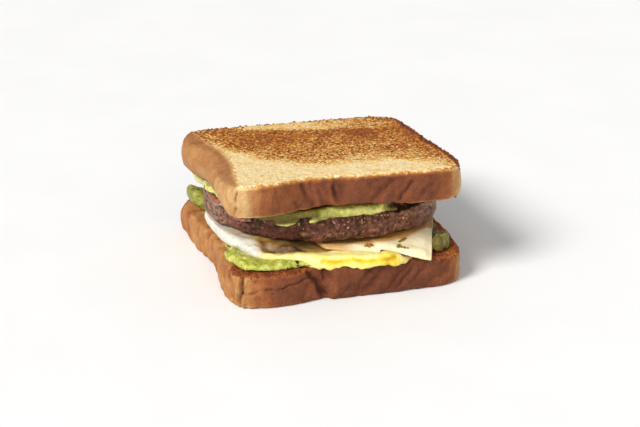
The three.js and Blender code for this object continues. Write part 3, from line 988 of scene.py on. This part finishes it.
def chip_shape():
    """The corners and outward faces of a twenty-sided body of radius 1."""
    phi = (1 + 5 ** 0.5) / 2
    corners = np.array([
        (-1, phi, 0), (1, phi, 0), (-1, -phi, 0), (1, -phi, 0), (0, -1, phi), (0, 1, phi),
        (0, -1, -phi), (0, 1, -phi), (phi, 0, -1), (phi, 0, 1), (-phi, 0, -1), (-phi, 0, 1),
    ]) / math.hypot(1, phi)
    spans = np.linalg.norm(corners[:, None] - corners[None], axis=2)
    # An edge is 1.05 long. Other corners are at least 1.7 apart.
    near = (spans > 0) & (spans < 1.1)
    faces = []
    for a, b, c in itertools.combinations(range(12), 3):
        if near[a, b] and near[b, c] and near[a, c]:
            turn = np.cross(corners[b] - corners[a], corners[c] - corners[a]) @ corners[a]
            faces.append((a, b, c) if turn > 0 else (a, c, b))
    return corners, faces


def chip_mesh(name, places, material, seed, flatness):
    """One piece of many small rough chips. places gives (centre, radius, normal) for each."""
    random = np.random.default_rng(seed)
    corners, faces = chip_shape()
    vertices = []
    polygons = []
    for centre, radius, normal in places:
        across = Vector(normal).to_track_quat("Z", "Y").to_matrix()
        start = len(vertices)
        stretch = random.uniform(0.65, 1.25, 2)
        turn = random.uniform(0, math.tau)
        for corner in corners:
            x, y, z = corner * random.uniform(0.7, 1.2)
            x, y = x * stretch[0], y * stretch[1]
            x, y = x * math.cos(turn) - y * math.sin(turn), x * math.sin(turn) + y * math.cos(turn)
            vertices.append((Vector(centre) + across @ (Vector((x, y, z * flatness)) * radius)) * MM)
        polygons.extend(tuple(start + k for k in face) for face in faces)
    mesh = bpy.data.meshes.new(name)
    mesh.from_pydata(vertices, [], polygons)
    mesh.materials.append(material)
    piece = new_object(name, mesh)
    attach(piece, BODY)


def toast_crumbs(top, top_rim, toast, bottom, bottom_rim):
    x, y, z = top.points.T
    upward = rise(0.6, 0.9, top.normals()[:, 2])
    on_face = upward * rise(0.35, 0.6, toast) * 0.12
    back = top_rim * rise(46, 51, y) * rise(46, 54, z)
    right = top_rim * rise(48, 53, x) * rise(44, 50, z)
    places = settle(top, on_face, 260, (0.35, 0.6), 91)
    places += settle(top, back + right, 420, (0.3, 0.75), 92, 0.1)
    x, y, z = bottom.points.T
    rough = bottom_rim * rise(12, 14, z)
    corner = rough * rise(-28, -34, y) * (rise(-30, -40, x) + rise(40, 46, x))
    places += settle(bottom, rough + 5 * corner, 420, (0.3, 0.6), 93, 0.1)
    material = fleck_material("toast_crumb", (110, 56, 34), (164, 94, 56), 1.5)
    chip_mesh("crumbs_toast", places, material, 94, 0.8)


def meat_crumbs(meat):
    x, y, z = meat.points.T
    upper_edge = rise(31, 34, z + 0.05 * y) * rise(-34, -42, y + 0.25 * np.abs(x))
    upper_edge *= rise(0.6, 0.4, meat.normals()[:, 2])
    places = settle(meat, upper_edge + 0.02, 130, (0.35, 0.75), 95, 0.3)
    cluster = near_path(meat.points, [(27.5, -42.6, 34), (30.2, -41, 30.5)], 1.2)
    places += settle(meat, cluster, 10, (0.5, 0.9), 96)
    material = fleck_material("sausage_crumb", (140, 84, 66), (214, 170, 138), 1.5)
    chip_mesh("crumbs_sausage", places, material, 97, 0.8)


def pepper_flecks(lower, meat):
    points = lower.points
    cluster = near_path(points, [(-26.6, -53.6, 20), (-24.4, -53, 18)], 0.7)
    places = settle(lower, near_point(points, (-31.7, -54, 18.6), 0.6), 2, (0.5, 0.6), 98)
    places += settle(lower, cluster, 12, (0.5, 0.9), 99)
    places += settle(lower, near_point(points, (-51.9, 41.7, 23.3), 1.0), 1, (0.8, 0.9), 100)
    places += settle(lower, rise(17, 19, points[:, 2]), 30, (0.25, 0.4), 101)
    places += settle(meat, rise(23, 26, meat.points[:, 2]), 160, (0.3, 0.6), 102, 0.05)
    material = fleck_material("pepper", (26, 18, 8), (66, 50, 26))
    chip_mesh("flecks_pepper", places, material, 103, 0.7)


def cheese_flecks(clay):
    points = clay.points
    upward = rise(0.3, 0.6, clay.normals()[:, 2])
    green_line = upward * near_path(points, [(25.2, -48.4), (29.6, -44.6)], 0.35)
    red_line = upward * near_path(points, [(24.4, -53.2), (27, -55)], 0.35)
    green = settle(clay, green_line, 26, (0.5, 0.8), 104)
    green += settle(clay, near_point(points, (23.6, -52.6, 22.4), 0.8), 5, (0.8, 1.1), 105)
    red = settle(clay, red_line, 9, (0.6, 0.85), 106)
    red += settle(clay, near_point(points, (9, -50.4, 23), 1.5), 12, (0.6, 1.1), 107)
    herb = fleck_material("herb", (78, 70, 20), (160, 146, 46))
    chilli = fleck_material("chilli", (104, 58, 16), (184, 138, 62))
    chip_mesh("flecks_herb", green, herb, 108, 0.35)
    chip_mesh("flecks_chilli", red, chilli, 109, 0.45)


# -------- the studio


# What the lamps face, in metres.
MIDDLE = (0, 0, 0.03)


def look_from(obj, place, target):
    obj.location = place
    obj.rotation_euler = (Vector(target) - Vector(place)).to_track_quat("-Z", "Y").to_euler()


def orbit(target, azimuth, elevation, distance):
    """A place round the target. Azimuth 0 is in front of it, and -90 to its left."""
    a, e = math.radians(azimuth), math.radians(elevation)
    way = Vector((math.sin(a) * math.cos(e), -math.cos(a) * math.cos(e), math.sin(e)))
    return Vector(target) + way * distance


def camera():
    data = bpy.data.cameras.new("camera")
    data.lens = 101.25
    data.sensor_width = 36
    data.clip_start = 0.05
    data.clip_end = 20
    view = new_object("camera", data)
    middle = Vector((0.0004, 0.0022, 0.032))
    aim = middle + Vector((0.001, 0, -0.0119))
    look_from(view, orbit(middle, azimuth=-16.5, elevation=21, distance=0.88235), aim)
    bpy.context.scene.camera = view


def lamp(kind, place, power, colour, spread):
    """A lamp that faces the sandwich. spread is a sun's degrees or a panel's side in metres."""
    data = bpy.data.lights.new("studio_" + kind.lower(), kind)
    data.energy = power
    data.color = colour
    if kind == "SUN":
        data.angle = math.radians(spread)
    else:
        data.shape = "SQUARE"
        data.size = spread
    look_from(new_object(data.name, data), place, MIDDLE)


def floor():
    size = 6
    mesh = bpy.data.meshes.new("floor")
    corners = [(-size, -size, 0), (size, -size, 0), (size, size, 0), (-size, size, 0)]
    mesh.from_pydata(corners, [], [(0, 1, 2, 3)])
    r = Recipe("studio_floor")
    tint = r.ramp(r.noise(60, 2), [(0.0, 239, 239, 239), (1.0, 241, 241, 241)])
    mesh.materials.append(r.surface(tint, 0.7, r.bump(r.noise(4, 2), 0.01)))
    obj = new_object("floor", mesh)


def studio():
    scene = bpy.context.scene
    scene.view_settings.view_transform = "Standard"
    scene.view_settings.look = "None"
    world = bpy.data.worlds.new("studio")
    scene.world = world
    world.use_nodes = True
    background = world.node_tree.nodes["Background"]
    background.inputs["Color"].default_value = (1, 1, 1, 1)
    background.inputs["Strength"].default_value = 0.42
    lamp("SUN", orbit(MIDDLE, -60, 40, 2), power=3.4, colour=(1, 0.99, 0.97), spread=22)
    lamp("AREA", orbit(MIDDLE, -10, 14, 1.8), power=8, colour=(1, 1, 1), spread=1.2)
    floor()
    camera()


# -------- putting it together

bread = bread_material()
avocado = avocado_material()
studio()
bottom, bottom_rim = bottom_bread(bread)
top, top_rim, top_toast = top_bread(bread)
meat = patty(sausage_material())
meat_flaps(flap_material())
lower = lower_mash(avocado)
upper_mash(avocado)
egg(egg_material())
cheese_clay = cheese(cheese_material())
toast_crumbs(top, top_rim, top_toast, bottom, bottom_rim)
meat_crumbs(meat)
pepper_flecks(lower, meat)
cheese_flecks(cheese_clay)
